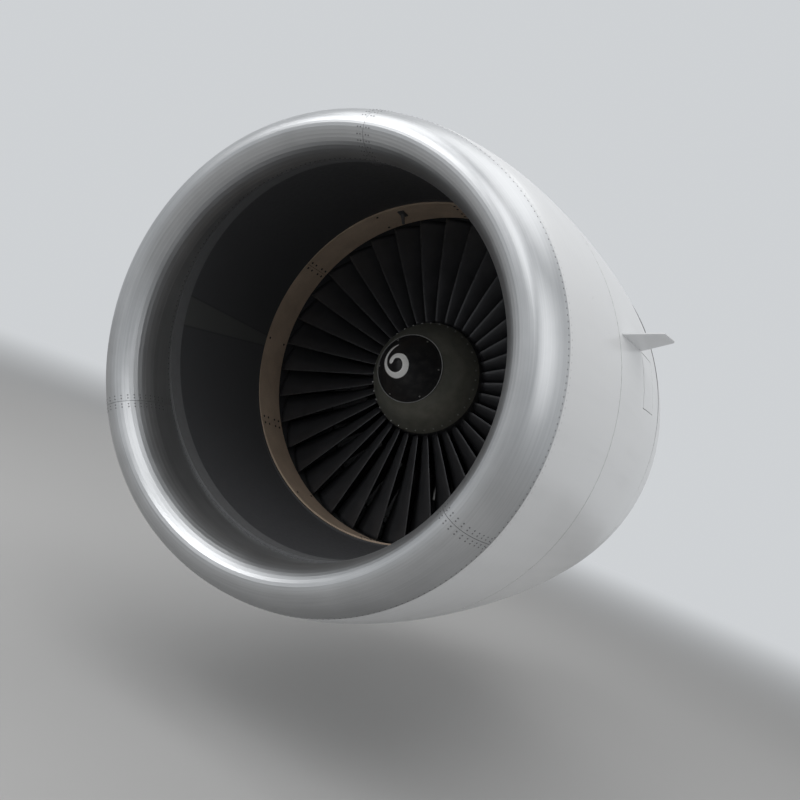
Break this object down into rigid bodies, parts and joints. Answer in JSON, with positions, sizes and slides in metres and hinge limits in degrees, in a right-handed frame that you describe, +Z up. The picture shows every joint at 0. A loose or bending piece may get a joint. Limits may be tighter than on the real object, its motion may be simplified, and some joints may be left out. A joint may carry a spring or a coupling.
{
  "type": "jet engine",
  "caption": "High-bypass turbofan engine in its nacelle, with a bare metal intake lip, wide-chord fan and spinner, hinged cowls, pivoting reverser doors and a cone-shaped exhaust plug.",
  "frame": {"origin": "centre of the forward mount's bolt holes, on the mount's top face; the engine's axis lies 965 mm below it", "axes": "+Z up, +Y aft along the engine's axis, so the intake faces -Y; +X to the engine's left side"},
  "size_m": [2.2366, 4.2509, 2.276],
  "materials": {
    "lip_metal": "brushed bare metal, soft sheen",
    "cowl_paint": "glossy white paint on composite",
    "intake_liner": "matte dark grey acoustic lining",
    "panel_beige": "matte beige rub panels",
    "blade_metal": "dark satin titanium",
    "cone_black": "satin black",
    "cone_green": "grey-green satin paint",
    "bright_steel": "bright steel",
    "case_metal": "grey cast alloy",
    "core_metal": "heat-toned steel",
    "dark_metal": "dark heat-resistant alloy",
    "dark_fitting": "dark satin paint",
    "vane_grey": "satin grey metal"
  },
  "bodies": {
    "engine": {"lip_segment_left": "lip_metal", "lip_segment_bottom": "lip_metal", "lip_segment_right": "lip_metal", "intake_outer_barrel": "cowl_paint", "intake_inner_barrel": "intake_liner", "forward_bulkhead": "case_metal", "aft_bulkhead": "case_metal", "intake_bolts": "bright_steel", "fan_case": "case_metal", "shroud_panels": "panel_beige", "panel_screws": "dark_fitting", "temperature_probe": "dark_fitting", "outlet_guide_vanes": "vane_grey", "fan_frame": "case_metal", "splitter": "vane_grey", "inlet_guide_vanes": "vane_grey", "shaft_bearings": "bright_steel", "core_bearing": "bright_steel", "compressor_case": "core_metal", "combustor_case": "core_metal", "combustor_liner": "core_metal", "turbine_case": "core_metal", "turbine_rear_frame": "core_metal", "exhaust_nozzle": "dark_metal", "exhaust_plug": "dark_metal", "accessory_gearbox": "case_metal", "oil_tank": "case_metal", "air_starter": "case_metal", "fan_hinge_beam": "case_metal", "reverser_hinge_beam": "case_metal", "forward_mount": "bright_steel", "aft_mount": "bright_steel"},
    "low_pressure_rotor": {"spinner_front_cone": "cone_black", "spinner_ring": "bright_steel", "spinner_rear_cone": "cone_green", "spinner_bolts": "bright_steel", "fan_disk": "dark_fitting", "fan_blades": "blade_metal", "blade_platforms": "blade_metal", "booster_rotor": "vane_grey", "fan_shaft": "bright_steel", "fan_turbine_rotor": "dark_metal"},
    "high_pressure_rotor": {"core_rotor": "core_metal"},
    "radial_drive": {"radial_drive_shaft": "bright_steel"},
    "left_fan_cowl": {"fan_cowl_left": "cowl_paint", "strake_left": "cowl_paint"},
    "right_fan_cowl": {"fan_cowl_right": "cowl_paint", "strake_right": "cowl_paint"},
    "forward_latch": {"cowl_latch_1": "bright_steel"},
    "middle_latch": {"cowl_latch_2": "bright_steel"},
    "aft_latch": {"cowl_latch_3": "bright_steel"},
    "service_door": {"oil_service_door": "cowl_paint"},
    "left_reverser": {"reverser_left": "cowl_paint", "door_actuators_left": "bright_steel"},
    "right_reverser": {"reverser_right": "cowl_paint", "door_actuators_right": "bright_steel"},
    "upper_left_door": {"reverser_door_1": "cowl_paint"},
    "lower_left_door": {"reverser_door_2": "cowl_paint"},
    "lower_right_door": {"reverser_door_3": "cowl_paint"},
    "upper_right_door": {"reverser_door_4": "cowl_paint"}
  },
  "joints": [
    {"name": "low_pressure_spin", "type": "hinge", "parent": "engine", "child": "low_pressure_rotor", "pos_m": [0, -0.56, -0.965], "axis": [0, 1, 0], "continuous": true},
    {"name": "high_pressure_spin", "type": "hinge", "parent": "engine", "child": "high_pressure_rotor", "pos_m": [0, 0.44, -0.965], "axis": [0, 1, 0], "continuous": true},
    {"name": "radial_drive_spin", "type": "hinge", "parent": "engine", "child": "radial_drive", "pos_m": [0, 0.03, -1.465], "axis": [0, 0, -1], "continuous": true},
    {"name": "left_cowl_hinge", "type": "hinge", "parent": "engine", "child": "left_fan_cowl", "pos_m": [0.16, -0.57657, 0.04326], "axis": [0, -0.9973, -0.0732], "range_deg": [0, 50]},
    {"name": "right_cowl_hinge", "type": "hinge", "parent": "engine", "child": "right_fan_cowl", "pos_m": [-0.16, -0.57657, 0.04326], "axis": [0, 0.9973, 0.0732], "range_deg": [0, 50]},
    {"name": "forward_latch_hinge", "type": "hinge", "parent": "right_fan_cowl", "child": "forward_latch", "pos_m": [-0.044, -0.77599, -2.15667], "axis": [-1, 0, 0], "range_deg": [0, 90]},
    {"name": "middle_latch_hinge", "type": "hinge", "parent": "right_fan_cowl", "child": "middle_latch", "pos_m": [-0.044, -0.39664, -2.13391], "axis": [-1, 0, 0], "range_deg": [0, 90]},
    {"name": "aft_latch_hinge", "type": "hinge", "parent": "right_fan_cowl", "child": "aft_latch", "pos_m": [-0.044, -0.0182, -2.09863], "axis": [-1, 0, 0], "range_deg": [0, 90]},
    {"name": "service_door_hinge", "type": "hinge", "parent": "left_fan_cowl", "child": "service_door", "pos_m": [1.02686, -0.54382, -0.62125], "axis": [0.3746, 0.0679, -0.9247], "range_deg": [0, 80]},
    {"name": "left_reverser_hinge", "type": "hinge", "parent": "engine", "child": "left_reverser", "pos_m": [0.131, 0.1, 0.075], "axis": [0, -0.9889, 0.1487], "range_deg": [0, 45]},
    {"name": "right_reverser_hinge", "type": "hinge", "parent": "engine", "child": "right_reverser", "pos_m": [-0.131, 0.1, 0.075], "axis": [0, 0.9889, -0.1487], "range_deg": [0, 45]},
    {"name": "upper_left_door_pivot", "type": "hinge", "parent": "left_reverser", "child": "upper_left_door", "pos_m": [0.66193, 0.84, -0.44784], "axis": [-0.6157, 0, 0.788], "range_deg": [0, 50]},
    {"name": "lower_left_door_pivot", "type": "hinge", "parent": "left_reverser", "child": "lower_left_door", "pos_m": [0.62424, 0.84, -1.52707], "axis": [0.6691, 0, 0.7431], "range_deg": [0, 50]},
    {"name": "lower_right_door_pivot", "type": "hinge", "parent": "right_reverser", "child": "lower_right_door", "pos_m": [-0.62424, 0.84, -1.52707], "axis": [0.6691, 0, -0.7431], "range_deg": [0, 50]},
    {"name": "upper_right_door_pivot", "type": "hinge", "parent": "right_reverser", "child": "upper_right_door", "pos_m": [-0.66193, 0.84, -0.44784], "axis": [-0.6157, 0, -0.788], "range_deg": [0, 50]}
  ],
  "couplings": [
    {"joint": "radial_drive_spin", "follows": "high_pressure_spin", "ratio": 1}
  ]
}
